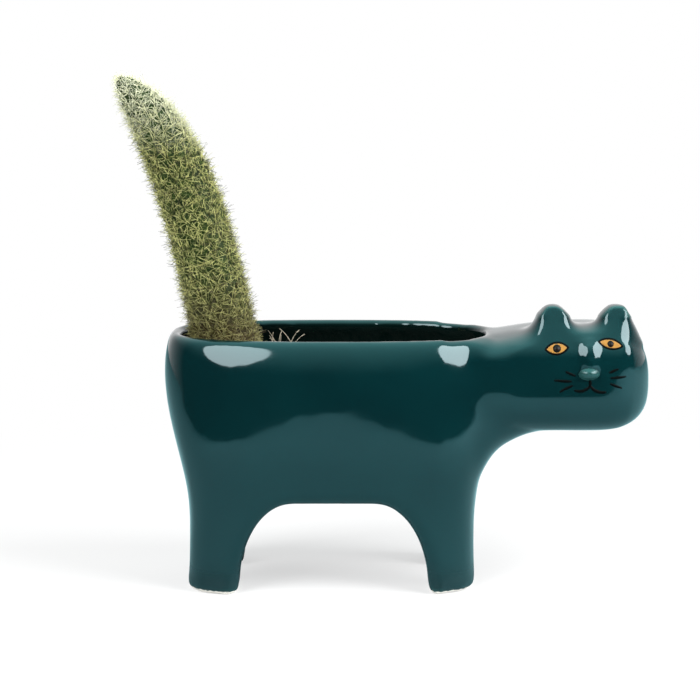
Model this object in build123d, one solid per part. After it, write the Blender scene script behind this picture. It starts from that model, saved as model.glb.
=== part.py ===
"""Cat-shaped stoneware planter with a cactus growing as its tail.

Millimetres. +X runs to the head, -Y is the cat's right side, +Z is up, and the soles stand on Z = 0.
"""

import os
from math import cos, pi, radians, sin, sqrt

from build123d import *

os.makedirs("parts", exist_ok=True)

# Trunk
RUMP_X = -70.5
CHEST_X = 39.5
TRUNK_WIDTH = 67.0
TRUNK_MIDDLE_X = -15.0
PLAN_POWER = 2.8
LEG_POWER = 5.0
RIM_HEIGHT = 82.0
BULGE_BELOW_RIM = 14.0
SIDE_BULGE_BELOW_RIM = 34.0
SHANK_HEIGHT = 23.5
RUMP_DRAW = 8.2
CHEST_DRAW = 8.8
SIDE_DRAW = 3.0
RIM_DRAW = 2.2
SHOULDER_DRAW = 6.0
RIM_ROUND = 1.9
TRUNK_RINGS = 10

# Walls and holes of the casting
WALL = 4.5
FLOOR_THICKNESS = 4.5
FLOOR_ROUND = 6.0
DRAIN_RADIUS = 5.0
VENT_RADIUS = 1.5
VENT_BELOW_RIM = 7.0

# Legs
ARCH_X = -15.2
ARCH_FLAT = 26.0
ARCH_FLANK = 17.7
BELLY_HEIGHT = 29.6
ARCH_BELOW_SOLES = 2.0
TUNNEL_FLAT = 6.0
TUNNEL_FLANK = 9.5
TUNNEL_BELOW_BELLY = 3.5
SEAM_BELOW_TUNNEL = 4.0
FOOT_HEIGHT = 16.0
FOOT_FLARE = 1.3
LEG_ROUND = 3.5
SOLE_ROUND = 1.2

# Neck and head
FACE_BEYOND_CHEST = 27.3
CHEEK_REACH = 20.7
CROWN_ABOVE_RIM = 3.1
HEAD_HEIGHT = 34.5
CHEEK_ABOVE_CHIN = 15.0
HEAD_DEPTH = 42.0
HEAD_POWER = 3.6
CHEEK_POWER = 2.7
JOWL = 0.02
HEAD_OFFSET_Y = -3.0
NECK_LENGTH = 17.8
NECK_DEPTH = 41.0
NECK_FLARE = 7.0
NECK_ROOT_INSET = 8.5
NECK_START_INSET = 21.5
NAPE_DROP = 3.1
THROAT_LENGTH = 9.8
THROAT_RUN = 26.5
THROAT_DROP = 23.0
HEAD_RINGS = 8
BOND = 0.02

# Ears
EAR_ROOT_BELOW_CROWN = 6.2
EAR_DEPTH = 14.0
EAR_BEHIND_FACE = 6.0
RIGHT_EAR_OUT = 11.2
RIGHT_EAR_RISE = 7.4
RIGHT_EAR_WIDTH = 21.0
LEFT_EAR_OUT = 8.7
LEFT_EAR_RISE = 7.4
LEFT_EAR_WIDTH = 20.0

# Nose
NOSE_BELOW_CROWN = 14.0
NOSE_ROOT = 2.0
NOSE_RISE = 2.2
NOSE_WIDTH = 8.5
NOSE_TALL = 6.0
BRIDGE_ABOVE_NOSE = 5.5
BRIDGE_INSET = 0.9
BRIDGE_LEAN = 16.0
BRIDGE_ROOT = 2.0
BRIDGE_RISE = 1.1
BRIDGE_WIDTH = 6.5
BRIDGE_LENGTH = 15.0

# Painted face
PAINT = 0.25
OUTLINE = 0.55
RIGHT_EYE_OUT = 10.3
RIGHT_EYE_ABOVE_NOSE = 8.0
RIGHT_EYE_LENGTH = 7.8
RIGHT_EYE_TALL = 3.9
RIGHT_EYE_TILT = 5.0
RIGHT_PUPIL = 2.6
LEFT_EYE_OUT = 6.4
LEFT_EYE_ABOVE_NOSE = 9.1
LEFT_EYE_LENGTH = 7.4
LEFT_EYE_TALL = 3.6
LEFT_EYE_TILT = -7.0
LEFT_PUPIL = 2.0
MOUTH_BELOW_NOSE = 2.3
PHILTRUM = 1.7
MOUTH_DIP = 1.7
MOUTH_LIFT = 0.2
MOUTH_WIDTH = 10.2
MOUTH_LINE = 0.6
WHISKER_LENGTH = 4.6
WHISKER_SPACING = 1.7
WHISKER_SPLAY = 24.0
WHISKER_LINE = 0.55
RIGHT_WHISKER_OUT = 5.6
RIGHT_WHISKER_BELOW_NOSE = 2.4
LEFT_WHISKER_OUT = 6.3
LEFT_WHISKER_BELOW_NOSE = 1.5

# Filling of the pot
FILL_GAP = 0.25
SCREEN_LAP = 7.0
SCREEN_THICKNESS = 1.0
SCREEN_PITCH = 3.4
SCREEN_HOLE = 2.0
GRAVEL_DEPTH = 8.0
SOIL_BELOW_RIM = 11.8
CLOD_SPACING = 8.4
CLOD_RADIUS = 6.8
CLOD_RISE = 0.8
CLOD_ROWS = 5
CLOD_COLUMNS = 10

# Cactus
STEM_FROM_RUMP = 22.0
STEM_PLANTED = 2.2
STEM_RISE = (-7.5, 35.0)
STEM_BEND = (-14.0, 76.2)
STEM_TIP = (-36.5, 96.0)
STEM_RADIUS = 10.2
STEM_TAPER = 0.1
STEM_RINGS = 12
ROOT_BALL_RADIUS = 12.0
ROOTS_ABOVE_GRAVEL = 5.0
ROOT_BALL_ROUND = 3.5
RIBS = 16
AREOLE_ROWS = 7
SPINES_EACH = 3
SPINE_LENGTH = 4.0
SPINE_WIDTH = 0.5
SPINE_SPLAY = 35.0
SPINE_LIFT = 0.1
SPINE_START = 0.07
SPINE_END = 0.96

# Heights and places that follow from these
BULGE_HEIGHT = RIM_HEIGHT - BULGE_BELOW_RIM
SIDE_BULGE_HEIGHT = RIM_HEIGHT - SIDE_BULGE_BELOW_RIM
FLOOR_HEIGHT = BELLY_HEIGHT + FLOOR_THICKNESS
TUNNEL_HEIGHT = BELLY_HEIGHT - TUNNEL_BELOW_BELLY
LEG_SEAM_HEIGHT = TUNNEL_HEIGHT - SEAM_BELOW_TUNNEL
SOIL_HEIGHT = RIM_HEIGHT - SOIL_BELOW_RIM
GRAVEL_HEIGHT = FLOOR_HEIGHT + GRAVEL_DEPTH
FACE_X = CHEST_X + FACE_BEYOND_CHEST
NECK_X = FACE_X - NECK_LENGTH
THROAT_X = FACE_X - THROAT_LENGTH
NECK_ROOT_X = CHEST_X - NECK_ROOT_INSET
NECK_START_X = CHEST_X - NECK_START_INSET
CROWN_HEIGHT = RIM_HEIGHT + CROWN_ABOVE_RIM
CHIN_HEIGHT = CROWN_HEIGHT - HEAD_HEIGHT
CHEEK_HEIGHT = CHIN_HEIGHT + CHEEK_ABOVE_CHIN
EAR_ROOT_HEIGHT = CROWN_HEIGHT - EAR_ROOT_BELOW_CROWN
NOSE_HEIGHT = CROWN_HEIGHT - NOSE_BELOW_CROWN
FACE_Y = HEAD_OFFSET_Y - HEAD_DEPTH / 2
EAR_Y = FACE_Y + EAR_BEHIND_FACE + EAR_DEPTH / 2
STEM_ROOT_X = RUMP_X + STEM_FROM_RUMP
STEM_ROOT_HEIGHT = SOIL_HEIGHT - STEM_PLANTED
RIM_INSIDE_X = RUMP_X + RIM_DRAW + WALL + RIM_ROUND


def ease(t):
    """Smooth step from 0 to 1."""
    t = max(0.0, min(1.0, t))
    return t * t * (3 - 2 * t)


def oval(power, count):
    """Unit superellipse as a list of points."""
    points = []
    for k in range(count):
        c = cos(2 * pi * k / count)
        s = sin(2 * pi * k / count)
        u = abs(c) ** (2 / power)
        v = abs(s) ** (2 / power)
        points.append((u if c > 0 else -u, v if s > 0 else -v))
    return points


def ring(points):
    """Closed smooth wire through points."""
    return Wire([Spline(*points, periodic=True)])


# Trunk casting
def trunk_ring(height, inset):
    """Plan outline of the trunk at a height, drawn in by an inset."""
    draw = ease((BULGE_HEIGHT - height) / (BULGE_HEIGHT - SHANK_HEIGHT))
    side_draw = ease((SIDE_BULGE_HEIGHT - height) / (SIDE_BULGE_HEIGHT - SHANK_HEIGHT))
    rim = RIM_DRAW * max(0.0, (height - BULGE_HEIGHT) / BULGE_BELOW_RIM) ** 3
    shoulder = SHOULDER_DRAW * max(0.0, (height - SIDE_BULGE_HEIGHT) / SIDE_BULGE_BELOW_RIM) ** 4
    change = inset - FOOT_FLARE * max(0.0, 1 - height / FOOT_HEIGHT) ** 2
    rear = TRUNK_MIDDLE_X - RUMP_X - RUMP_DRAW * draw - rim - change
    front = CHEST_X - TRUNK_MIDDLE_X - CHEST_DRAW * draw - rim - change
    side = TRUNK_WIDTH / 2 - SIDE_DRAW * side_draw - shoulder - change
    power = PLAN_POWER + (LEG_POWER - PLAN_POWER) * draw
    points = []
    for u, v in oval(power, 24):
        x = TRUNK_MIDDLE_X + u * (front if u > 0 else rear)
        points.append((x, side * v, height))
    return ring(points)


def trunk_loft(low, high, inset):
    """Solid trunk between two heights."""
    heights = [low + (high - low) * k / TRUNK_RINGS for k in range(TRUNK_RINGS + 1)]
    return Solid.make_loft([trunk_ring(height, inset) for height in heights])


def arch_face(flat, flank, height):
    """Flat-topped arch with elliptical flanks, standing on the X axis."""
    half = flat / 2
    foot = half + flank
    low = -ARCH_BELOW_SOLES
    lines = [
        EllipticalCenterArc((half, 0), flank, height, start_angle=0, arc_size=90),
        Line((half, height), (-half, height)),
        EllipticalCenterArc((-half, 0), flank, height, start_angle=90, arc_size=90),
        Polyline((-foot, 0), (-foot, low), (foot, low), (foot, 0)),
    ]
    return make_face(lines)


trunk = trunk_loft(0, RIM_HEIGHT, 0)
arch_outline = Pos(ARCH_X, 0) * arch_face(ARCH_FLAT, ARCH_FLANK, BELLY_HEIGHT)
arch = extrude(Plane.XZ * arch_outline, TRUNK_WIDTH, both=True)
tunnel_outline = arch_face(TUNNEL_FLAT, TUNNEL_FLANK, TUNNEL_HEIGHT)
tunnel = extrude(Plane.YZ * tunnel_outline, CHEST_X - RUMP_X, both=True)
passage = (arch + tunnel).solid()
standing = (trunk - passage).solid()
leg_edges = new_edges(trunk, passage, combined=standing)
leg_edges = leg_edges.filter_by(lambda edge: edge.center().Z > SOLE_ROUND)
standing = standing.fillet(LEG_ROUND, leg_edges)
sole_edges = standing.faces().sort_by(Axis.Z)[:4].edges()
standing = standing.fillet(SOLE_ROUND, sole_edges)

# Hollow of the pot, past the rim so that it cuts right through
room = trunk_loft(FLOOR_HEIGHT, RIM_HEIGHT + RIM_ROUND, WALL)
room = room.fillet(FLOOR_ROUND, room.faces().sort_by(Axis.Z)[0].edges())
cast = standing - room
cast = cast - Pos(ARCH_X, 0, BELLY_HEIGHT) * Cylinder(DRAIN_RADIUS, 3 * FLOOR_THICKNESS)
vent = Pos(CHEST_X, 0, RIM_HEIGHT - VENT_BELOW_RIM) * Rot(0, 90, 0) * Cylinder(VENT_RADIUS, 4 * WALL)
cast = (cast - vent).solid()
rim_edges = cast.faces().sort_by(Axis.Z)[-1].edges()
cast = cast.fillet(RIM_ROUND, rim_edges)

pot = split(cast, Plane.XY.offset(LEG_SEAM_HEIGHT), keep=Keep.TOP).solid()
legs = split(cast, Plane.XY.offset(LEG_SEAM_HEIGHT), keep=Keep.BOTTOM).solids()
export_step(pot, "parts/pot.step")
for leg in legs:
    place = leg.center()
    end = "front" if place.X > ARCH_X else "hind"
    side = "right" if place.Y < 0 else "left"
    export_step(leg, f"parts/{end}_{side}_leg.step")


# Neck and head
def head_ring(x, cap, shell):
    """Cross-section of the neck and head, drawn in by a shell thickness."""
    away = min(x, THROAT_X) - THROAT_X
    away = max(away, NECK_ROOT_X - THROAT_X) / THROAT_RUN
    chin = CHIN_HEIGHT - THROAT_DROP * (1 - sqrt(1 - away * away)) + shell
    nape = (FACE_X - min(x, FACE_X)) / (FACE_X - CHEST_X)
    crown = CROWN_HEIGHT - NAPE_DROP * nape * nape - shell
    if x < NECK_X:
        deep = NECK_DEPTH / 2 + NECK_FLARE * ease((NECK_X - x) / (NECK_X - NECK_START_X))
    else:
        deep = NECK_DEPTH / 2 + (HEAD_DEPTH - NECK_DEPTH) / 2 * ease((x - NECK_X) / (FACE_X - NECK_X))
    deep = (deep - shell) * cap
    turn = HEAD_OFFSET_Y * ease((x - NECK_ROOT_X) / (FACE_X - NECK_ROOT_X))
    low = CHEEK_HEIGHT - (CHEEK_HEIGHT - chin) * cap
    high = CHEEK_HEIGHT + (crown - CHEEK_HEIGHT) * cap
    points = []
    for u, v in oval(HEAD_POWER, 20):
        jowl = 1 - JOWL * v
        points.append((x, turn + deep * u * jowl, (low + high) / 2 + (high - low) / 2 * v))
    return ring(points)


def head_loft(shell):
    """Neck and head as one solid, drawn in by a shell thickness."""
    rings = []
    start = NECK_START_X + shell
    for k in range(HEAD_RINGS + 1):
        rings.append(head_ring(start + (FACE_X - start) * k / HEAD_RINGS, 1, shell))
    reach = CHEEK_REACH - shell
    for angle in (27, 48, 65, 79):
        across = sin(radians(angle))
        cap = (1 - across**CHEEK_POWER) ** (1 / CHEEK_POWER)
        rings.append(head_ring(FACE_X + reach * across, cap, shell))
    tip = Vertex(FACE_X + reach, HEAD_OFFSET_Y, CHEEK_HEIGHT)
    return Solid.make_loft(rings + [tip])


skull = head_loft(0)
head = (skull - trunk - head_loft(WALL)).solid()
export_step(head, "parts/head.step")

# What is set on the head stands off it by the thickness of the bond
bonded = head_loft(-BOND)


# Ears and nose, rounded bosses cut to the head
def boss(width, depth, tall):
    """Boss with an oval foot, rising along +Z to a round top."""
    rings = []
    for angle in (0, 30, 52, 70, 82):
        size = cos(radians(angle))
        height = tall * (1 - size * size)
        rings.append(ring([(width / 2 * size * u, depth / 2 * size * v, height) for u, v in oval(2, 12)]))
    return Solid.make_loft(rings + [Vertex(0, 0, tall)])


def model_ear(side, out, width, rise):
    """One ear, set on the crown just behind the face."""
    ear = boss(width, EAR_DEPTH, EAR_ROOT_BELOW_CROWN + rise)
    ear = Pos(FACE_X + out, EAR_Y, EAR_ROOT_HEIGHT) * ear - bonded
    export_step(ear, f"parts/{side}_ear.step")


model_ear("right", -RIGHT_EAR_OUT, RIGHT_EAR_WIDTH, RIGHT_EAR_RISE)
model_ear("left", LEFT_EAR_OUT, LEFT_EAR_WIDTH, LEFT_EAR_RISE)

nose_place = Pos(FACE_X, FACE_Y + NOSE_ROOT, NOSE_HEIGHT) * Rot(90, 0, 0)
nose_tall = NOSE_ROOT + NOSE_RISE
nose = nose_place * boss(NOSE_WIDTH, NOSE_TALL, nose_tall) - bonded
nose_room = boss(NOSE_WIDTH + 2 * FILL_GAP, NOSE_TALL + 2 * FILL_GAP, nose_tall + FILL_GAP)
bridge_middle = Pos(FACE_X, FACE_Y + BRIDGE_INSET, NOSE_HEIGHT + BRIDGE_ABOVE_NOSE)
bridge_place = bridge_middle * Rot(90 - BRIDGE_LEAN, 0, 0) * Pos(0, 0, -BRIDGE_ROOT)
nose_bridge = bridge_place * boss(BRIDGE_WIDTH, BRIDGE_LENGTH, BRIDGE_ROOT + BRIDGE_RISE)
nose_bridge = (nose_bridge - bonded - nose_place * nose_room).solids().sort_by(Axis.Z)[-1]
export_step(nose, "parts/nose.step")
export_step(nose_bridge, "parts/nose_bridge.step")


# Painted face, a thin fired layer on the glaze
painted_skull = head_loft(-PAINT)


def painted(face):
    """Layer of paint of a shape drawn on the XZ plane."""
    stamp = extrude(Plane.XZ * face, 2 * HEAD_DEPTH) & painted_skull
    return stamp - bonded


def almond(length, tall):
    """Pointed eye shape."""
    radius = (length * length + tall * tall) / (4 * tall)
    shift = radius - tall / 2
    return Pos(0, shift) * Circle(radius) & Pos(0, -shift) * Circle(radius)


def paint_eye(side, out, up, length, tall, tilt, pupil):
    """Iris, outline and pupil of one eye."""
    place = Pos(FACE_X + out, NOSE_HEIGHT + up) * Rot(0, 0, tilt)
    dot = Circle(pupil / 2)
    inner = almond(length - 2 * OUTLINE, tall - OUTLINE)
    export_step(painted(place * dot), f"parts/{side}_pupil.step")
    export_step(painted(place * (inner - dot)), f"parts/{side}_iris.step")
    export_step(painted(place * (almond(length, tall) - inner)), f"parts/{side}_eye_outline.step")


right_eye = (RIGHT_EYE_LENGTH, RIGHT_EYE_TALL, RIGHT_EYE_TILT, RIGHT_PUPIL)
left_eye = (LEFT_EYE_LENGTH, LEFT_EYE_TALL, LEFT_EYE_TILT, LEFT_PUPIL)
paint_eye("right", -RIGHT_EYE_OUT, RIGHT_EYE_ABOVE_NOSE, *right_eye)
paint_eye("left", LEFT_EYE_OUT, LEFT_EYE_ABOVE_NOSE, *left_eye)

mouth_top = NOSE_HEIGHT - MOUTH_BELOW_NOSE
mouth_fork = mouth_top - PHILTRUM
mouth_low = mouth_fork - MOUTH_DIP
mouth_lines = [Line((FACE_X, mouth_top), (FACE_X, mouth_fork))]
for way in (-1, 1):
    dip = (FACE_X + way * MOUTH_WIDTH / 4, mouth_low)
    end = (FACE_X + way * MOUTH_WIDTH / 2, mouth_low + MOUTH_LIFT)
    mouth_lines.append(Spline((FACE_X, mouth_fork), dip, end))
export_step(painted(trace(mouth_lines, MOUTH_LINE)), "parts/mouth.step")


def paint_whiskers(name, way, out, below):
    """Three strokes fanned out over one cheek."""
    x = FACE_X + way * out
    height = NOSE_HEIGHT - below
    strokes = []
    for row in (-1, 0, 1):
        root = (x, height + row * WHISKER_SPACING)
        angle = radians(row * WHISKER_SPLAY)
        tip = (x + way * WHISKER_LENGTH * cos(angle), root[1] + WHISKER_LENGTH * sin(angle))
        strokes.append(Line(root, tip))
    export_step(painted(trace(strokes, WHISKER_LINE)), f"parts/{name}.step")


paint_whiskers("right_whiskers", -1, RIGHT_WHISKER_OUT, RIGHT_WHISKER_BELOW_NOSE)
paint_whiskers("left_whiskers", 1, LEFT_WHISKER_OUT, LEFT_WHISKER_BELOW_NOSE)


# Cactus stem, bent back at the tip
stem_points = []
for x, z in ((0, 0), STEM_RISE, STEM_BEND, STEM_TIP):
    stem_points.append((STEM_ROOT_X + x, 0, STEM_ROOT_HEIGHT + z))
stem_path = Bezier(*stem_points)


def stem_radius(s):
    """Radius at a share of the stem's length."""
    return STEM_RADIUS * (1 - STEM_TAPER * s) * sqrt(1 - s**4)


def stem_loft(gap):
    """Round tapering stem, grown by a gap."""
    rings = []
    for k in range(STEM_RINGS):
        s = sin(pi / 2 * k / STEM_RINGS)
        lean = stem_path % s if k > 0 else Vector(0, 0, 1)
        plane = Plane(origin=stem_path @ s, x_dir=(0, 1, 0), z_dir=lean)
        rings.append(Wire.make_circle(stem_radius(s) + gap, plane))
    tip = stem_path @ 1 + stem_path % 1 * gap
    return Solid.make_loft(rings + [Vertex(*tip)])


stem = stem_loft(0)
stem_room = stem_loft(FILL_GAP)
export_step(stem, "parts/cactus_stem.step")


# Spines, standing in threes along the crests of the ribs
def spine(foot, side, along, tip):
    """Three-sided spine on a small flat foot."""
    corners = []
    for angle in (90, 210, 330):
        swing = side * cos(radians(angle)) + along * sin(radians(angle))
        corners.append(foot + swing * (SPINE_WIDTH / 2))
    a, b, c = corners
    sides = [(a, b, tip), (b, c, tip), (c, a, tip), (a, b, c)]
    return Solid(Shell([Face(Wire.make_polygon(list(three))) for three in sides]))


def areole(s, angle):
    """Spines of one areole."""
    axis = stem_path % s
    side_a = Vector(0, 1, 0)
    side_b = axis.cross(side_a)
    outward = side_a * cos(angle) + side_b * sin(angle)
    step = 0.01
    lean = (stem_radius(s - step) - stem_radius(s + step)) / (2 * step * stem_path.length)
    normal = (outward + axis * lean).normalized()
    side = axis.cross(outward)
    along = normal.cross(side)
    foot = stem_path @ s + outward * stem_radius(s)
    spines = []
    for k in range(SPINES_EACH):
        turn = 2 * pi * (k + 0.25) / SPINES_EACH
        splay = side * cos(turn) + along * sin(turn)
        pull = radians(SPINE_SPLAY)
        start = foot + splay * SPINE_WIDTH + normal * SPINE_LIFT
        tip = start + (normal * cos(pull) + splay * sin(pull)) * SPINE_LENGTH
        if tip.X > RIM_INSIDE_X or tip.Z > RIM_HEIGHT + SPINE_LENGTH:
            spines.append(spine(start, side, along, tip))
    return spines


spines = []
for row in range(AREOLE_ROWS):
    for rib in range(RIBS):
        s = SPINE_START + (SPINE_END - SPINE_START) * (row + 0.5 * (rib % 2)) / (AREOLE_ROWS - 0.5)
        spines += areole(s, 2 * pi * rib / RIBS)
export_step(Compound(spines), "parts/cactus_spines.step")

# Filling, from the drain hole up
screen_radius = DRAIN_RADIUS + SCREEN_LAP
cells = int(sqrt(2) * screen_radius / SCREEN_PITCH)
screen_cells = GridLocations(SCREEN_PITCH, SCREEN_PITCH, cells, cells) * Rectangle(SCREEN_HOLE, SCREEN_HOLE)
screen_face = Circle(screen_radius) - screen_cells
screen = Pos(ARCH_X, 0, FLOOR_HEIGHT) * extrude(screen_face, SCREEN_THICKNESS)
screen_room = Pos(ARCH_X, 0, FLOOR_HEIGHT) * extrude(Circle(screen_radius + FILL_GAP), SCREEN_THICKNESS)
export_step(screen, "parts/drain_screen.step")

gravel = trunk_loft(FLOOR_HEIGHT, GRAVEL_HEIGHT, WALL + FILL_GAP)
gravel = gravel.fillet(FLOOR_ROUND, gravel.faces().sort_by(Axis.Z)[0].edges()) - screen_room
export_step(gravel, "parts/drainage_gravel.step")

root_top = STEM_ROOT_HEIGHT - FILL_GAP
root_depth = root_top - GRAVEL_HEIGHT - ROOTS_ABOVE_GRAVEL
root_place = Pos(STEM_ROOT_X, 0, root_top - root_depth / 2)
root_ball = root_place * Cylinder(ROOT_BALL_RADIUS, root_depth)
root_round = min(ROOT_BALL_ROUND, root_depth / 3)
root_ball = fillet(root_ball.edges().filter_by(GeomType.CIRCLE), root_round)
root_room = root_place * Cylinder(ROOT_BALL_RADIUS + FILL_GAP, root_depth + 2 * FILL_GAP)
export_step(root_ball, "parts/root_ball.step")

# Soil, with clods on top that keep clear of the stem
stem_axis = Vector(STEM_ROOT_X, 0)
clods = []
for place in Pos(ARCH_X, 0) * GridLocations(CLOD_SPACING, CLOD_SPACING, CLOD_COLUMNS, CLOD_ROWS):
    if (place.position - stem_axis).length > STEM_RADIUS + CLOD_SPACING / 2:
        clods.append(place * Pos(0, 0, SOIL_HEIGHT + CLOD_RISE - CLOD_RADIUS) * Sphere(CLOD_RADIUS))
soil = trunk_loft(GRAVEL_HEIGHT, SOIL_HEIGHT, WALL + FILL_GAP) + clods
soil = soil - root_room - stem_room
export_step(soil, "parts/potting_soil.step")
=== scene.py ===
"""Glazed stoneware planter in the shape of a standing cat, with a hairy cactus for its tail."""

import math
import random

import bmesh
import bpy
from mathutils import Matrix, Vector, geometry
from mathutils.bvhtree import BVHTree


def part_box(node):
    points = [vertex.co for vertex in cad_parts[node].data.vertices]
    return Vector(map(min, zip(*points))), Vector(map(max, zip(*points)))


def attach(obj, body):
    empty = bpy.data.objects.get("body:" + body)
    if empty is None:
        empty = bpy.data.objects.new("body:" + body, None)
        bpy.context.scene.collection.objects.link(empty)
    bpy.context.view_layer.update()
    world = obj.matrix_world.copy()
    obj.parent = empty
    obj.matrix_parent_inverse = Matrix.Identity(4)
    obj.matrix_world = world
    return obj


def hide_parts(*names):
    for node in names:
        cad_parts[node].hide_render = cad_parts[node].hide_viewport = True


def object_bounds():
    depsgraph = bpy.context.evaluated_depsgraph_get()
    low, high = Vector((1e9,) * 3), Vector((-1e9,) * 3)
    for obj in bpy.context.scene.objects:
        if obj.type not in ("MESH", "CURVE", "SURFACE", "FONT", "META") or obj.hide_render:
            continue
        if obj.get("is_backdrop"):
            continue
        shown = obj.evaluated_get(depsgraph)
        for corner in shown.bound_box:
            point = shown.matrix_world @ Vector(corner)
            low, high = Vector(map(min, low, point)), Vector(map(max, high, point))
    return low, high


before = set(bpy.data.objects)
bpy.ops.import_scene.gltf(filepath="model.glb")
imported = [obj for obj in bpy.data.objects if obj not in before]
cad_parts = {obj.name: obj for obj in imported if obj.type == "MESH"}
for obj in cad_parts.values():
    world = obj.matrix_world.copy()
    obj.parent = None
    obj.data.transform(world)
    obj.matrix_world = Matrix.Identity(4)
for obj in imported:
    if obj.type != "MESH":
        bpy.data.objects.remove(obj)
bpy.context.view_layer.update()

# Stoneware body: trunk, legs, head and ears, slip-cast, luted together leather hard and dipped in one glaze.
# Sponging and firing round every join, so the castings are merged into one skin and smoothed,
# most of all where the ears run into the crown and the neck into the trunk.
castings = (
    "pot",
    "front_right_leg",
    "front_left_leg",
    "hind_right_leg",
    "hind_left_leg",
    "head",
    "right_ear",
    "left_ear",
)
skin_grain = 0.0009
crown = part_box("head")[1].z
nose_middle = sum(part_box("nose"), Vector()) / 2


def gathered(nodes):
    """The solids of some nodes in one edit mesh."""
    bm = bmesh.new()
    for node in nodes:
        bm.from_mesh(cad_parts[node].data)
    return bm


def merged(bm, grain):
    """One closed skin over all that an edit mesh holds."""
    mould = bpy.data.objects.new("mould", bpy.data.meshes.new("mould"))
    bm.to_mesh(mould.data)
    bpy.context.collection.objects.link(mould)
    wrap = mould.modifiers.new("wrap", "REMESH")
    wrap.mode = "VOXEL"
    wrap.voxel_size = grain
    bm.clear()
    bm.from_object(mould, bpy.context.evaluated_depsgraph_get())
    bpy.data.objects.remove(mould)
    return bm


def rounded(bm, verts, turns):
    """Evens out part of a skin, as a damp sponge does."""
    every_way = {"use_axis_x": True, "use_axis_y": True, "use_axis_z": True}
    for turn in range(turns):
        bmesh.ops.smooth_vert(bm, verts=verts, factor=0.5, **every_way)


def finished(name, bm):
    """Turns an edit mesh into a smooth shaded object."""
    for face in bm.faces:
        face.smooth = True
    piece = bpy.data.objects.new(name, bpy.data.meshes.new(name))
    bm.to_mesh(piece.data)
    bm.free()
    bpy.context.collection.objects.link(piece)
    return piece


def front_of(surface, x, z):
    """Where a surface is first met from the side that the face looks to."""
    well_in_front = -0.1
    return surface.ray_cast(Vector((x, well_in_front, z)), Vector((0, 1, 0)))[0]


# A slab of clay faces each ear, so that it stands flush with the face and flat in front.
slab_tip_half_width = 0.0020
slab_tip_thickness = 0.0030
slab_tip_below_ear = 0.0004
slab_foot_half_width = 0.0070
slab_foot_thickness = 0.0080
slab_foot_inset = 0.0002
slab_foot_below_crown = 0.0058

head = gathered(("head",))
head_skin = BVHTree.FromBMesh(head)
head.free()
bm = gathered(castings)
for ear in ("right_ear", "left_ear"):
    low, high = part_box(ear)
    for vert in bmesh.ops.create_cube(bm, size=2)["verts"]:
        in_front = vert.co.y < 0
        if vert.co.z > 0:
            vert.co.x = (low.x + high.x) / 2 + vert.co.x * slab_tip_half_width
            vert.co.y = (low.y + high.y) / 2 - (slab_tip_thickness if in_front else 0)
            vert.co.z = high.z - slab_tip_below_ear
        else:
            vert.co.x = (low.x + high.x) / 2 + vert.co.x * slab_foot_half_width
            vert.co.z = crown - slab_foot_below_crown
            face = front_of(head_skin, vert.co.x, vert.co.z)
            vert.co.y = face.y + (slab_foot_inset if in_front else slab_foot_thickness)

# The ridge between nose and brow leans back with the face and runs in behind the nose.
ridge_above_nose = 0.0062
ridge_lean = math.radians(-20)
ridge_half_sizes = Matrix.Diagonal((0.0028, 0.0016, 0.0066, 1))

ridge_middle = front_of(head_skin, nose_middle.x, nose_middle.z + ridge_above_nose)
ridge_stand = Matrix.Translation(ridge_middle) @ Matrix.Rotation(ridge_lean, 4, "X")
bmesh.ops.create_icosphere(bm, subdivisions=3, radius=1, matrix=ridge_stand @ ridge_half_sizes)

bm = merged(bm, skin_grain)
rounded(bm, bm.verts, 7)
bm.normal_update()

# Clay is filled in until neck, cheeks and ears share the one profile that the face has at the nose.
# The fill fades out along the neck, round the cheek and where the skin turns away from the front.
neck_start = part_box("head")[0].x - 0.006
neck_fade = 0.008
cheek_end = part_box("left_ear")[1].x
cheek_fade = 0.005
cheek_fade_below_crown = 0.4
brow = crown - 0.0065
brow_slope = 0.5
jowl_slope = 0.03
jowl_height = 0.02
deepest_fill = 0.0035
side_on = 0.1
turn_span = 0.2

for vert in bm.verts:
    if neck_start < vert.co.x < cheek_end and vert.co.y < 0:
        profile = front_of(head_skin, nose_middle.x, min(vert.co.z, brow))
        if profile:
            jowl = jowl_slope * min(max(0.0, brow - vert.co.z), jowl_height)
            hollow = vert.co.y - profile.y + jowl - brow_slope * max(0.0, vert.co.z - brow)
            cheek_turn = cheek_fade + cheek_fade_below_crown * max(0.0, crown - vert.co.z)
            along_neck = (vert.co.x - neck_start) / neck_fade
            round_cheek = (cheek_end - vert.co.x) / cheek_turn
            ends = min(1.0, along_neck, round_cheek)
            facing = min(1.0, max(0.0, (-vert.normal.y - side_on) / turn_span))
            vert.co.y -= min(max(hollow, 0.0), deepest_fill) * ends * facing

# The joints of ears and neck are worked smooth with a wet finger, and less at the lip of the pot.
ear_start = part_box("right_ear")[0].x - 0.006
ear_joint_low = -0.005
ear_joint_high = 0.003
neck_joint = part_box("head")[0].x + 0.002
neck_joint_reach = 0.011
lip_half_width = 0.016
lip_below_crown = 0.016

soft = []
lip = []
for vert in bm.verts:
    at_ears = vert.co.x > ear_start and ear_joint_low < vert.co.z - crown < ear_joint_high
    at_neck = abs(vert.co.x - neck_joint) < neck_joint_reach
    at_lip = abs(vert.co.y) < lip_half_width and vert.co.z > crown - lip_below_crown
    if at_ears or at_neck and not at_lip:
        soft.append(vert)
    elif at_neck:
        lip.append(vert)
rounded(bm, soft, 26)
rounded(bm, lip, 10)
rounded(bm, bm.verts, 2)

# The glaze runs thin on sharp outward edges, and the inner wall of the pot above the soil gets painted shade:
# both go with the skin as attributes.
edge_stands_out = 0.0001
least_sharpness = 0.5
soil_low, soil_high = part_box("potting_soil")
pot_middle = (soil_low + soil_high) / 2
beyond_soil = 0.003
inner_half_width = 0.031
inward_reach = 0.005

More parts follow.
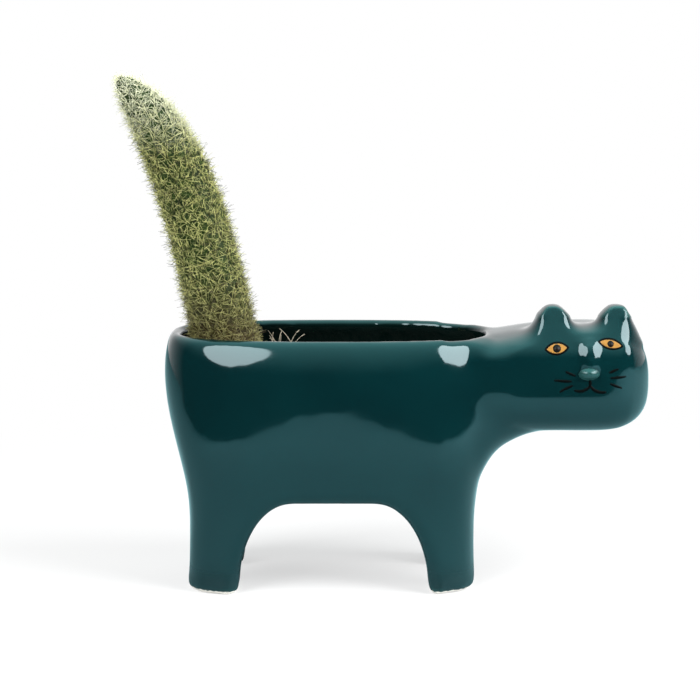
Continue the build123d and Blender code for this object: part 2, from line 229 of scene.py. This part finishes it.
thin_and_sheen = bm.verts.layers.float.new("thin_glaze_and_sheen")
inner_shade = bm.verts.layers.float.new("painted_inner_shade")
for vert in bm.verts:
    middle = Vector()
    for edge in vert.link_edges:
        middle += edge.other_vert(vert).co
    middle /= len(vert.link_edges)
    sharpness = (vert.co - middle).dot(vert.normal) / edge_stands_out
    vert[thin_and_sheen] = min(1.0, max(0.0, sharpness - least_sharpness))
    # Painted shade mask: skin facing inward, inside the pot and above the soil.
    inward = (pot_middle - vert.co).xy.dot(vert.normal.xy) > inward_reach
    along_soil = soil_low.x - beyond_soil < vert.co.x < soil_high.x + beyond_soil
    inside = along_soil and vert.co.z > soil_low.z and abs(vert.co.y) < inner_half_width
    vert[inner_shade] = 1.0 if inward and inside else 0.0
skin = BVHTree.FromBMesh(bm)
body = finished("stoneware_cat", bm)


def linear(code):
    """sRGB hex to a linear colour with alpha."""
    colour = []
    for k in (1, 3, 5):
        c = int(code[k : k + 2], 16) / 255
        colour.append(c / 12.92 if c <= 0.04045 else ((c + 0.055) / 1.055) ** 2.4)
    return (*colour, 1.0)


def add(tree, kind, sockets=None, **settings):
    """Adds a node, sets its options, and fills its sockets with values or links."""
    node = tree.nodes.new(kind)
    for name, value in settings.items():
        setattr(node, name, value)
    for name, value in (sockets or {}).items():
        if isinstance(value, bpy.types.NodeSocket):
            tree.links.new(value, node.inputs[name])
        else:
            node.inputs[name].default_value = value
    return node


# Gloss glaze: a dipped coat a third of a millimetre thick, glassy, with slow waves from draining, and paler
# and darker clouds where it lies thin or thick. It is wiped off the soles, which stay pale bare clay.
cloud_size = 0.022
speck_size = 0.0016
wave_size = 0.016
wave_height = 0.0005
ragged_edge = 0.0012
bare_up_to = 0.0003
glazed_from = 0.0006
wiped_up_to = 0.004
clean_from = 0.012

glaze = bpy.data.materials.new("dipped_gloss_glaze")
glaze.use_nodes = True
tree = glaze.node_tree
shader = tree.nodes["Principled BSDF"]
place = add(tree, "ShaderNodeTexCoord").outputs["Object"]
clouds = add(tree, "ShaderNodeTexNoise", {"Vector": place, "Scale": 1 / cloud_size, "Detail": 3.0})
specks = add(tree, "ShaderNodeTexNoise", {"Vector": place, "Scale": 1 / speck_size, "Detail": 2.0})
thick = add(
    tree,
    "ShaderNodeMix",
    {0: clouds.outputs["Fac"], 6: linear("#01191c"), 7: linear("#032628")},
    data_type="RGBA",
)
# Painted shade: the inner wall of the pot is painted near black, standing in for the shade down inside it.
inner_shade_mask = add(tree, "ShaderNodeAttribute", attribute_name="painted_inner_shade").outputs["Fac"]
shaded_inside = add(
    tree,
    "ShaderNodeMix",
    {0: inner_shade_mask, 6: thick.outputs[2], 7: linear("#02110f")},
    data_type="RGBA",
)
# Paler where the glaze runs thin on sharp edges; on the nose the same paler colour is partly a painted
# reflection.
thin_and_sheen_fac = add(tree, "ShaderNodeAttribute", attribute_name="thin_glaze_and_sheen").outputs["Fac"]
broken_and_sheen = add(
    tree,
    "ShaderNodeMix",
    {0: thin_and_sheen_fac, 6: shaded_inside.outputs[2], 7: linear("#1d4845")},
    data_type="RGBA",
)
height = add(tree, "ShaderNodeSeparateXYZ", {"Vector": place}).outputs["Z"]
ragged = add(tree, "ShaderNodeMath", {0: specks.outputs["Fac"], 1: ragged_edge}, operation="MULTIPLY")
above = add(tree, "ShaderNodeMath", {0: height, 1: ragged.outputs[0]}, operation="SUBTRACT")
bare = add(
    tree,
    "ShaderNodeMapRange",
    {"Value": above.outputs[0], "From Min": glazed_from, "From Max": bare_up_to},
)
coloured = add(
    tree,
    "ShaderNodeMix",
    {0: bare.outputs[0], 6: broken_and_sheen.outputs[2], 7: linear("#e0dcd4")},
    data_type="RGBA",
)
tree.links.new(coloured.outputs[2], shader.inputs["Base Color"])
worn = add(tree, "ShaderNodeMapRange", {"Value": thin_and_sheen_fac, "To Min": 0.07, "To Max": 0.45})
wiped = add(
    tree,
    "ShaderNodeMapRange",
    {
        "Value": height,
        "From Min": clean_from,
        "From Max": wiped_up_to,
        "To Min": worn.outputs[0],
        "To Max": 0.40,
    },
)
gloss = add(
    tree,
    "ShaderNodeMapRange",
    {"Value": bare.outputs[0], "To Min": wiped.outputs[0], "To Max": 0.75},
)
tree.links.new(gloss.outputs[0], shader.inputs["Roughness"])
waves = add(tree, "ShaderNodeTexNoise", {"Vector": place, "Scale": 1 / wave_size, "Detail": 1.0})
ripple = add(
    tree,
    "ShaderNodeBump",
    {"Height": waves.outputs["Fac"], "Strength": 0.35, "Distance": wave_height},
)
tree.links.new(ripple.outputs["Normal"], shader.inputs["Normal"])
shader.inputs["IOR"].default_value = 1.52
shader.inputs["Specular Tint"].default_value = (0.75, 0.96, 1.0, 1.0)
body.data.materials.append(glaze)
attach(body, "root")
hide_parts(*castings, "nose_bridge")

# Nose: a small oval button of the same clay, set on at the ridge's foot before dipping.
# It was pressed a little wider than it was rolled; the glaze lies thin on it, and its paler colour is also a
# painted reflection of the light from above.
nose_grain = 0.00025
nose_widening = 1.15
nose_shift = 0.0005
nose_stand = 0.0009
nose_lean = 0.2
# Painted reflection: the nose's share of the paler thin-glaze colour stands in for light from above on its
# face.
nose_thin_glaze_and_sheen = 0.6

bm = merged(gathered(("nose",)), nose_grain)
rounded(bm, bm.verts, 6)
thin_and_sheen = bm.verts.layers.float.new("thin_glaze_and_sheen")
for vert in bm.verts:
    vert.co.x = nose_middle.x - nose_shift + nose_widening * (vert.co.x - nose_middle.x)
    vert.co.y -= nose_stand + nose_lean * (vert.co.z - nose_middle.z)
    vert[thin_and_sheen] = nose_thin_glaze_and_sheen
nose = finished("nose_button", bm)
nose.data.materials.append(glaze)
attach(nose, "root")
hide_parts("nose")

# Eyes: overglaze enamels, brushed on the fired glaze and fired again, so they lie on it as thin films.
# Each eye is a black almond, then a yellow one on it, then a dark pupil, and each film lies a little higher.
enamel_thickness = 0.00012
ground_lift = 0.00004
iris_lift = 0.00009
pupil_lift = 0.00014
rim_line = 0.00062
corner_line = 2.6


def enamel(name, low, high, roughness, shine):
    """Brushed enamel: colour ground in oil and fired, streaked by the brush, less glassy than the glaze."""
    streak_width = 0.0012
    streak_height = 0.0001
    material = bpy.data.materials.new(name)
    material.use_nodes = True
    tree = material.node_tree
    place = add(tree, "ShaderNodeTexCoord").outputs["Object"]
    streaks = add(tree, "ShaderNodeTexNoise", {"Vector": place, "Scale": 1 / streak_width, "Detail": 3.0})
    mixed = add(
        tree,
        "ShaderNodeMix",
        {0: streaks.outputs["Fac"], 6: linear(low), 7: linear(high)},
        data_type="RGBA",
    )
    shader = tree.nodes["Principled BSDF"]
    tree.links.new(mixed.outputs[2], shader.inputs["Base Color"])
    brushed = add(
        tree,
        "ShaderNodeBump",
        {"Height": streaks.outputs["Fac"], "Strength": 0.2, "Distance": streak_height},
    )
    tree.links.new(brushed.outputs["Normal"], shader.inputs["Normal"])
    shader.inputs["Roughness"].default_value = roughness
    shader.inputs["Specular IOR Level"].default_value = shine
    return material


def film(name, bm, lift, material, node):
    """Lays a flat shape, drawn from the middle of the nose, on the glaze and makes a thin film of it."""
    for vert in bm.verts:
        ground = front_of(skin, nose_middle.x + vert.co.x, nose_middle.z + vert.co.z)
        vert.co = ground - Vector((0, lift, 0))
    bmesh.ops.recalc_face_normals(bm, faces=bm.faces)
    if bm.faces[:][0].normal.y > 0:
        bmesh.ops.reverse_faces(bm, faces=bm.faces)
    piece = finished(name, bm)
    depth = piece.modifiers.new("thickness", "SOLIDIFY")
    depth.thickness = enamel_thickness
    depth.offset = -1
    piece.data.materials.append(material)
    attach(piece, "root")
    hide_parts(node)


def almond(x, z, length, tall, tilt):
    """Flat eye shape with pointed corners."""
    fullness = 0.85
    bm = bmesh.new()
    bmesh.ops.create_grid(bm, x_segments=24, y_segments=10, size=1)
    turn = math.radians(tilt)
    for vert in bm.verts:
        along = vert.co.x * length / 2
        up = vert.co.y * tall / 2 * (1 - vert.co.x**2) ** fullness
        vert.co.x = x + along * math.cos(turn) - up * math.sin(turn)
        vert.co.z = z + along * math.sin(turn) + up * math.cos(turn)
    bmesh.ops.remove_doubles(bm, verts=bm.verts, dist=1e-6)
    return bm


def dot(x, z, radius):
    """Flat round pupil."""
    bm = bmesh.new()
    bmesh.ops.create_circle(bm, cap_ends=True, cap_tris=True, segments=28, radius=radius)
    bmesh.ops.rotate(bm, verts=bm.verts, matrix=Matrix.Rotation(math.pi / 2, 3, "X"))
    bmesh.ops.translate(bm, verts=bm.verts, vec=(x, 0, z))
    return bm


black_enamel = enamel("black_overglaze_enamel", "#020202", "#040505", 0.5, 0.05)
yellow_enamel = enamel("yellow_overglaze_enamel", "#8c6029", "#ad8140", 0.2, 0.3)
brown_enamel = enamel("brown_overglaze_enamel", "#0c0605", "#170d09", 0.35, 0.12)

# Side, place across and above the nose, length, height, tilt in degrees and width of the pupil.
eyes = (
    ("right", -0.0106, 0.0079, 0.0080, 0.0042, 5.0, 0.0025),
    ("left", 0.0066, 0.0093, 0.0084, 0.0036, -11.0, 0.0020),
)
for side, x, z, length, tall, tilt, pupil in eyes:
    outer = almond(x, z, length, tall, tilt)
    film(f"{side}_eye_ground", outer, ground_lift, black_enamel, f"{side}_eye_outline")
    inner = almond(x, z, length - corner_line * rim_line, tall - 2 * rim_line, tilt)
    film(f"{side}_iris_film", inner, iris_lift, yellow_enamel, f"{side}_iris")
    middle = dot(x, z, pupil / 2)
    film(f"{side}_pupil_film", middle, pupil_lift, brown_enamel, f"{side}_pupil")

# Mouth and whiskers: single pulls of a fine brush in the black enamel, fullest in the middle and drawn out
# at the ends. Each has a start, a bend and an end, across and above the middle of the nose, and a width.
stroke_lift = 0.00005
brush_strokes = {
    ("mouth_strokes", "mouth"): (
        ((0.0000, -0.0021), (0.0000, -0.0031), (-0.0001, -0.0042), 0.0009),
        ((0.0000, -0.0038), (-0.0019, -0.0064), (-0.0050, -0.0053), 0.0010),
        ((0.0000, -0.0038), (0.0017, -0.0064), (0.0051, -0.0059), 0.0010),
    ),
    ("right_whisker_strokes", "right_whiskers"): (
        ((-0.0047, -0.0008), (-0.0064, 0.0000), (-0.0079, 0.0007), 0.0008),
        ((-0.0059, -0.0025), (-0.0087, -0.0024), (-0.0115, -0.0021), 0.0009),
        ((-0.0055, -0.0038), (-0.0075, -0.0045), (-0.0097, -0.0059), 0.0008),
    ),
    ("left_whisker_strokes", "left_whiskers"): (
        ((0.0060, 0.0002), (0.0074, 0.0009), (0.0090, 0.0015), 0.0008),
        ((0.0064, -0.0014), (0.0089, -0.0013), (0.0115, -0.0010), 0.0008),
        ((0.0064, -0.0032), (0.0083, -0.0040), (0.0102, -0.0047), 0.0008),
    ),
}


def stroke(bm, start, bend, end, width):
    """One brush stroke along a bent line on the face."""
    grid = bmesh.ops.create_grid(bm, x_segments=16, y_segments=2, size=1)["verts"]
    start, bend, end = (Vector((x, 0, z)) for x, z in (start, bend, end))
    for vert in grid:
        t = (vert.co.x + 1) / 2
        centre = start * (1 - t) ** 2 + bend * 2 * t * (1 - t) + end * t**2
        along = ((bend - start) * (1 - t) + (end - bend) * t).normalized()
        across = Vector((-along.z, 0, along.x))
        swell = 0.25 + 0.75 * math.sin(math.pi * (0.12 + 0.8 * t)) ** 0.7
        vert.co = centre + across * (vert.co.y * width / 2 * swell)


for (name, node), pulls in brush_strokes.items():
    bm = bmesh.new()
    for start, bend, end, width in pulls:
        stroke(bm, start, bend, end, width)
    film(name, bm, stroke_lift, black_enamel, node)


# Filling: a moulded plastic mesh over the drain hole, pumice grit over that, and the roots of the plant.
# All of it lies hidden below the soil, as the solids have it, and only gets its finishes.
def grained(name, low, high, grain, roughness, depth):
    """Rough matter: dull, lumpy at the size of its grain and mottled between two colours."""
    material = bpy.data.materials.new(name)
    material.use_nodes = True
    tree = material.node_tree
    place = add(tree, "ShaderNodeTexCoord").outputs["Object"]
    grains = add(tree, "ShaderNodeTexVoronoi", {"Vector": place, "Scale": 1 / grain})
    mottle = add(tree, "ShaderNodeTexNoise", {"Vector": place, "Scale": 0.4 / grain, "Detail": 4.0})
    mixed = add(
        tree,
        "ShaderNodeMix",
        {0: mottle.outputs["Fac"], 6: linear(low), 7: linear(high)},
        data_type="RGBA",
    )
    shader = tree.nodes["Principled BSDF"]
    tree.links.new(mixed.outputs[2], shader.inputs["Base Color"])
    lumps = add(
        tree,
        "ShaderNodeBump",
        {"Height": grains.outputs["Distance"], "Strength": 0.8, "Distance": depth},
    )
    tree.links.new(lumps.outputs["Normal"], shader.inputs["Normal"])
    shader.inputs["Roughness"].default_value = roughness
    return material


hidden = {
    "drain_screen": grained("moulded_black_mesh", "#0c0c0c", "#191919", 0.0008, 0.5, 0.0001),
    "drainage_gravel": grained("pumice_grit", "#7d756a", "#b0a798", 0.003, 0.9, 0.0010),
    "root_ball": grained("root_fibre", "#4a3826", "#8a6c48", 0.0016, 0.9, 0.0006),
}
for node, material in hidden.items():
    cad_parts[node].data.materials.clear()
    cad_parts[node].data.materials.append(material)

# Potting mix: dark peat and bark, loosely levelled below the rim, so that its top is uneven and dull.
# Small lumps of grit and bark lie loose on it.
chance = random.Random(11)
soil_grain = 0.0013
soil_sinks = -0.0010
soil_heaves = 0.0008
lump_count = 150
lump_sizes = (0.0005, 0.0013)
lump_bed = (-0.036, 0.024)
lump_bed_half_width = 0.021
any_way_round = 6.3

bm = merged(gathered(("potting_soil",)), soil_grain)
for vert in bm.verts:
    if vert.co.z > soil_high.z - 2 * soil_grain:
        vert.co.z += chance.uniform(soil_sinks, soil_heaves)
for k in range(lump_count):
    along = chance.uniform(*lump_bed)
    aside = chance.uniform(-lump_bed_half_width, lump_bed_half_width)
    lump = bmesh.ops.create_icosphere(bm, subdivisions=1, radius=chance.uniform(*lump_sizes))["verts"]
    bmesh.ops.scale(bm, verts=lump, vec=(1, chance.uniform(0.6, 1), chance.uniform(0.4, 0.8)))
    bmesh.ops.rotate(bm, verts=lump, matrix=Matrix.Rotation(chance.uniform(0, any_way_round), 3, "Z"))
    bmesh.ops.translate(bm, verts=lump, vec=(along, aside, soil_high.z))
soil = finished("potting_mix", bm)
soil.data.materials.append(grained("peat_and_bark", "#150f0b", "#3a2a1d", 0.0014, 0.95, 0.0006))
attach(soil, "root")
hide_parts("potting_soil")

# Dry root hairs: dead roots of the plant, thin, pale and dull.
# They stand out of the mix beside the stem, bent, and some of them are hooked over.
root_count = 9
root_steps = 8
root_sides = 5
root_radius = 0.00022
root_thinning = 0.00012
root_heights = (0.010, 0.0145)
root_sunk = 0.002


def swept(bm, points, radii, sides):
    """Closed tube through points with a radius at each."""
    last = None
    for k in range(len(points)):
        along = points[min(k + 1, len(points) - 1)] - points[max(k - 1, 0)]
        stand = Matrix.Translation(points[k]) @ along.to_track_quat("Z", "Y").to_matrix().to_4x4()
        loop = bmesh.ops.create_circle(bm, segments=sides, radius=radii[k], matrix=stand)["verts"]
        edges = list(dict.fromkeys(edge for vert in loop for edge in vert.link_edges))
        if last:
            bmesh.ops.bridge_loops(bm, edges=last + edges)
        last = edges


bm = bmesh.new()
for k in range(root_count):
    foot = Vector((chance.uniform(-0.037, -0.024), chance.uniform(0.002, 0.016), soil_high.z - root_sunk))
    lean = Vector((chance.uniform(-0.4, 0.4), chance.uniform(-0.3, 0.3), 1))
    hook = Vector((chance.uniform(-0.004, 0.004), chance.uniform(-0.003, 0.003), -0.002))
    tall = chance.uniform(*root_heights)
    points = []
    radii = []
    for step in range(root_steps + 1):
        t = step / root_steps
        points.append(foot + lean * (tall * t) + hook * t**3)
        radii.append(root_radius - root_thinning * step / root_steps)
    swept(bm, points, radii, root_sides)
bmesh.ops.holes_fill(bm, edges=bm.edges, sides=0)
bmesh.ops.recalc_face_normals(bm, faces=bm.faces)
roots = finished("dry_roots", bm)
roots.data.materials.append(grained("dry_root", "#8d8474", "#c8bda8", 0.0012, 0.8, 0.0002))
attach(roots, "root")

# Cactus stem: a soft green column that stands in the soil and bends back at its tip.
# It is seen only between its hairs, dark green above and corky brown at the foot.
stem_root = Vector((-0.0485, 0, soil_high.z - 0.0030))
stem_rise = stem_root + Vector((-0.0075, 0, 0.0350))
stem_bend = stem_root + Vector((-0.0140, 0, 0.0762))
stem_tip = stem_root + Vector((-0.0365, 0, 0.0960))
stem_radius = 0.0102
stem_taper = 0.1
stem_sides = 64
stem_steps = 60
rind_below_hairs = 0.0002
cork_from = stem_root.z + 0.034
cork_full = stem_root.z + 0.008
mottle_size = 0.004
pore_depth = 0.0004

line = geometry.interpolate_bezier(stem_root, stem_rise, stem_bend, stem_tip, 241)
reach = [0.0]
for k in range(1, len(line)):
    reach.append(reach[-1] + (line[k] - line[k - 1]).length)


def stem_place(share):
    """Middle, direction and radius of the stem at a share of its length."""
    k = 1
    while k < len(line) - 1 and reach[k] < share * reach[-1]:
        k += 1
    step = (share * reach[-1] - reach[k - 1]) / (reach[k] - reach[k - 1])
    middle = line[k - 1].lerp(line[k], step)
    along = (line[k] - line[k - 1]).normalized()
    radius = stem_radius * (1 - stem_taper * share) * math.sqrt(max(0.0, 1 - share**5))
    return middle, along, radius


middles = []
radii = []
for k in range(stem_steps + 1):
    middle, along, radius = stem_place(math.sin(math.pi / 2 * k / stem_steps))
    middles.append(middle)
    radii.append(max(radius - rind_below_hairs, rind_below_hairs))
bm = bmesh.new()
swept(bm, middles, radii, stem_sides)
bmesh.ops.holes_fill(bm, edges=bm.edges, sides=0)
bmesh.ops.recalc_face_normals(bm, faces=bm.faces)
stem = finished("cactus_column", bm)

# Cactus rind: a waxy green skin, matt and finely pitted, turned to brown cork where it is old.
rind = bpy.data.materials.new("cactus_rind")
rind.use_nodes = True
tree = rind.node_tree
shader = tree.nodes["Principled BSDF"]
place = add(tree, "ShaderNodeTexCoord").outputs["Object"]
mottle = add(tree, "ShaderNodeTexNoise", {"Vector": place, "Scale": 1 / mottle_size, "Detail": 4.0})
green = add(
    tree,
    "ShaderNodeMix",
    {0: mottle.outputs["Fac"], 6: linear("#10160a"), 7: linear("#2f4519")},
    data_type="RGBA",
)
height = add(tree, "ShaderNodeSeparateXYZ", {"Vector": place}).outputs["Z"]
cork = add(tree, "ShaderNodeMapRange", {"Value": height, "From Min": cork_from, "From Max": cork_full})
aged = add(
    tree,
    "ShaderNodeMix",
    {0: cork.outputs[0], 6: green.outputs[2], 7: linear("#3d2f1f")},
    data_type="RGBA",
)
tree.links.new(aged.outputs[2], shader.inputs["Base Color"])
pores = add(
    tree,
    "ShaderNodeBump",
    {"Height": mottle.outputs["Fac"], "Strength": 0.5, "Distance": pore_depth},
)
tree.links.new(pores.outputs["Normal"], shader.inputs["Normal"])
shader.inputs["Roughness"].default_value = 0.55
shader.inputs["Specular IOR Level"].default_value = 0.15
stem.data.materials.append(rind)
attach(stem, "root")
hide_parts("cactus_stem")

# Cactus hairs: every wart carries a star of stiff, straight, fine spines that lie out to all sides.
# A few stars are made spine by spine, some straw, some green, some brown, and then set on every wart.
star_kinds = 10
star_hairs = 27
standing_hairs = 4
standing_slant = (25, 50)
lying_slant = (52, 84)
hair_lengths = (0.0026, 0.0048)
hair_foot_radius = 0.00009
hair_tip_radius = 0.00004
hair_shades = (0.0, 0.15, 0.4, 0.75, 0.95, 1.0)
hair_sunk = 0.0002
wart_half = 0.0006
wart_sunk = 0.0003
wart_rows = 37
wart_spacing = 0.0038
fewest_warts = 7
first_row = 0.05
rows_reach = 0.945
step_back = 0.01
smallest_star = 0.6
full_star_radius = 0.007

stars = []
for kind in range(star_kinds):
    bm = bmesh.new()
    tone = bm.verts.layers.float.new("tone")
    for k in range(star_hairs):
        slant = math.radians(chance.uniform(*(standing_slant if k < standing_hairs else lying_slant)))
        swing = chance.gauss(0, 1.7)
        way = Vector((math.sin(slant) * math.sin(swing), math.sin(slant) * math.cos(swing), math.cos(slant)))
        long = chance.uniform(*hair_lengths)
        aside = chance.uniform(-wart_half, wart_half)
        up = chance.uniform(-wart_half, wart_half)
        foot = Vector((aside, up, -hair_sunk))
        upright = way.to_track_quat("Z", "Y").to_matrix().to_4x4()
        hair = bmesh.ops.create_cone(
            bm,
            cap_ends=True,
            segments=3,
            radius1=hair_foot_radius,
            radius2=hair_tip_radius,
            depth=long,
            matrix=Matrix.Translation(foot + way * (long / 2)) @ upright,
        )
        shade = chance.choice(hair_shades)
        for vert in hair["verts"]:
            vert[tone] = shade
    star = bpy.data.meshes.new("star")
    bm.to_mesh(star)
    bm.free()
    stars.append(star)

bm = bmesh.new()
across_stem = Vector((0, 1, 0))
for row in range(wart_rows):
    share = first_row + rows_reach * row / (wart_rows - 1)
    middle, along, radius = stem_place(share)
    taper = (stem_place(share - step_back)[2] - radius) / (step_back * reach[-1])
    count = max(fewest_warts, round(2 * math.pi * radius / wart_spacing))
    for k in range(count):
        angle = 2 * math.pi * (k + 0.5 * (row % 2) + chance.uniform(-0.15, 0.15)) / count
        outward = across_stem * math.cos(angle) + along.cross(across_stem) * math.sin(angle)
        normal = (outward + along * taper).normalized()
        across = along.cross(outward)
        turn = Matrix((across, normal.cross(across), normal)).transposed().to_4x4()
        spin = Matrix.Rotation(chance.uniform(-0.5, 0.5), 4, "Z")
        size = smallest_star + (1 - smallest_star) * min(1.0, radius / full_star_radius)
        wart = Matrix.Translation(middle + outward * (radius - wart_sunk))
        star = chance.choice(stars).copy()
        star.transform(wart @ turn @ spin @ Matrix.Scale(size, 4))
        bm.from_mesh(star)
        bpy.data.meshes.remove(star)
hairs = finished("cactus_hairs", bm)
for star in stars:
    bpy.data.meshes.remove(star)

# Cactus hair: dry and horny, with a dull shine. Each star mixes dark, green and straw hairs by their tone.
# All of them are pale and young at the tip of the stem and brown with age at its foot.
tip_from = stem_tip.z - 0.024
tip_full = stem_tip.z - 0.002
foot_from = stem_root.z + 0.032
foot_full = stem_root.z + 0.010

horn = bpy.data.materials.new("cactus_hair")
horn.use_nodes = True
tree = horn.node_tree
shader = tree.nodes["Principled BSDF"]
place = add(tree, "ShaderNodeTexCoord").outputs["Object"]
tone = add(tree, "ShaderNodeAttribute", attribute_name="tone").outputs["Fac"]
dull = add(tree, "ShaderNodeMapRange", {"Value": tone, "From Max": 0.5})
dark = add(
    tree,
    "ShaderNodeMix",
    {0: dull.outputs[0], 6: linear("#33270f"), 7: linear("#5f6f28")},
    data_type="RGBA",
)
bright = add(tree, "ShaderNodeMapRange", {"Value": tone, "From Min": 0.5})
straw = add(
    tree,
    "ShaderNodeMix",
    {0: bright.outputs[0], 6: dark.outputs[2], 7: linear("#dad88c")},
    data_type="RGBA",
)
height = add(tree, "ShaderNodeSeparateXYZ", {"Vector": place}).outputs["Z"]
tip = add(
    tree,
    "ShaderNodeMapRange",
    {"Value": height, "From Min": tip_from, "From Max": tip_full, "To Max": 0.95},
)
young = add(
    tree,
    "ShaderNodeMix",
    {0: tip.outputs[0], 6: straw.outputs[2], 7: linear("#f6f8da")},
    data_type="RGBA",
)
foot = add(
    tree,
    "ShaderNodeMapRange",
    {"Value": height, "From Min": foot_from, "From Max": foot_full, "To Max": 0.6},
)
old = add(
    tree,
    "ShaderNodeMix",
    {0: foot.outputs[0], 6: young.outputs[2], 7: linear("#6a5836")},
    data_type="RGBA",
)
tree.links.new(old.outputs[2], shader.inputs["Base Color"])
shader.inputs["Roughness"].default_value = 0.5
hairs.data.materials.append(horn)
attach(hairs, "root")
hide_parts("cactus_spines")

# Studio table: a matt white sheet that ends in front of the planter, where the dim room begins.
# The glaze shows its edge as the border between a pale lower half and a dark upper half.
table_half_length = 0.9
table_front = -0.60
table_back = 1.1
fade_from = 0.08
fade_to = 0.30

bm = bmesh.new()
bmesh.ops.create_grid(bm, x_segments=1, y_segments=1, size=1)
for vert in bm.verts:
    vert.co.x *= table_half_length
    vert.co.y = table_front if vert.co.y < 0 else table_back
table = finished("table", bm)
sheet = bpy.data.materials.new("white_table")
sheet.use_nodes = True
tree = sheet.node_tree
shader = tree.nodes["Principled BSDF"]
shader.inputs["Roughness"].default_value = 0.9
place = add(tree, "ShaderNodeTexCoord").outputs["Object"]
away = add(tree, "ShaderNodeVectorMath", {0: place}, operation="LENGTH").outputs["Value"]
fade = add(
    tree,
    "ShaderNodeMapRange",
    {"Value": away, "From Min": fade_from, "From Max": fade_to, "To Min": 0.6},
)
rays = add(tree, "ShaderNodeLightPath")
# Painted reflection: to glossy rays the table is teal, so the glaze's lower half reflects it tinted teal.
painted_reflection_tint = add(
    tree,
    "ShaderNodeMix",
    {0: rays.outputs["Is Glossy Ray"], 6: linear("#efefef"), 7: linear("#8fc0c7")},
    data_type="RGBA",
)
tree.links.new(painted_reflection_tint.outputs[2], shader.inputs["Base Color"])
faded = add(
    tree,
    "ShaderNodeMath",
    {0: rays.outputs["Is Camera Ray"], 1: fade.outputs[0]},
    operation="MULTIPLY",
)
white = add(tree, "ShaderNodeEmission", {"Color": linear("#ffffff"), "Strength": 1.0})
shown = add(tree, "ShaderNodeMixShader", {0: faded.outputs[0], 1: shader.outputs[0], 2: white.outputs[0]})
tree.links.new(shown.outputs[0], tree.nodes["Material Output"].inputs["Surface"])
table.data.materials.append(sheet)
table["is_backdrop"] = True

# Studio room: white behind the planter and dim in front of it, with a soft glow overhead that shows only as
# a reflection. The camera itself sees plain white.
world = bpy.data.worlds.new("studio")
bpy.context.scene.world = world
world.use_nodes = True
tree = world.node_tree
ways = add(tree, "ShaderNodeTexCoord").outputs["Generated"]
way = add(tree, "ShaderNodeSeparateXYZ", {"Vector": ways})
back = add(
    tree,
    "ShaderNodeMapRange",
    {"Value": way.outputs["Y"], "From Max": 0.9, "To Min": 0.04, "To Max": 1.05},
)
room = add(tree, "ShaderNodeBackground", {"Color": linear("#ffffff"), "Strength": back.outputs[0]})
overhead = add(tree, "ShaderNodeMapRange", {"Value": way.outputs["Z"], "From Min": 0.3})
swell = add(tree, "ShaderNodeMath", {0: overhead.outputs[0], 1: 1.5}, operation="POWER")
rays = add(tree, "ShaderNodeLightPath")
glow = add(
    tree,
    "ShaderNodeMath",
    {0: swell.outputs[0], 1: rays.outputs["Is Glossy Ray"]},
    operation="MULTIPLY",
)
bright = add(tree, "ShaderNodeMath", {0: glow.outputs[0], 1: 2.4}, operation="MULTIPLY")
ceiling = add(tree, "ShaderNodeBackground", {"Color": linear("#b5fffc"), "Strength": bright.outputs[0]})
around = add(tree, "ShaderNodeAddShader", {0: room.outputs[0], 1: ceiling.outputs[0]})
backdrop = add(tree, "ShaderNodeBackground", {"Color": linear("#ffffff"), "Strength": 1.0})
seen = add(
    tree,
    "ShaderNodeMixShader",
    {0: rays.outputs["Is Camera Ray"], 1: around.outputs[0], 2: backdrop.outputs[0]},
)
tree.links.new(seen.outputs[0], tree.nodes["World Output"].inputs["Surface"])

# Lamps: a round soft box on either side of the camera. They leave the pale patches on the shoulders and face.
# Each has its azimuth and elevation in degrees, its distance, its width and its power.
aim = Vector((-0.0099, 0, 0.0753))
soft_boxes = (
    ("left_soft_box", -41, 38, 0.80, 0.55, 6.7),
    ("right_soft_box", 65, 33, 0.80, 0.62, 11.3),
)
for name, azimuth, elevation, away, wide, power in soft_boxes:
    lamp = bpy.data.lights.new(name, "AREA")
    lamp.shape = "DISK"
    lamp.size = wide
    lamp.energy = power
    box = bpy.data.objects.new(name, lamp)
    a = math.radians(azimuth)
    e = math.radians(elevation)
    box.location = aim + away * Vector((math.sin(a) * math.cos(e), -math.cos(a) * math.cos(e), math.sin(e)))
    box.rotation_euler = (aim - box.location).to_track_quat("-Z", "Y").to_euler()
    bpy.context.collection.objects.link(box)

# Camera: a long lens a little above the rim, square to the planter's side.
camera_away = 0.80
camera_rise = math.radians(8.3)
lens = bpy.data.cameras.new("camera")
lens.lens = 125.2
lens.sensor_width = 36
camera = bpy.data.objects.new("camera", lens)
camera.location = aim + camera_away * Vector((0, -math.cos(camera_rise), math.sin(camera_rise)))
camera.rotation_euler = (aim - camera.location).to_track_quat("-Z", "Y").to_euler()
bpy.context.collection.objects.link(camera)
bpy.context.scene.camera = camera
bpy.context.scene.view_settings.view_transform = "Standard"

low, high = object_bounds()
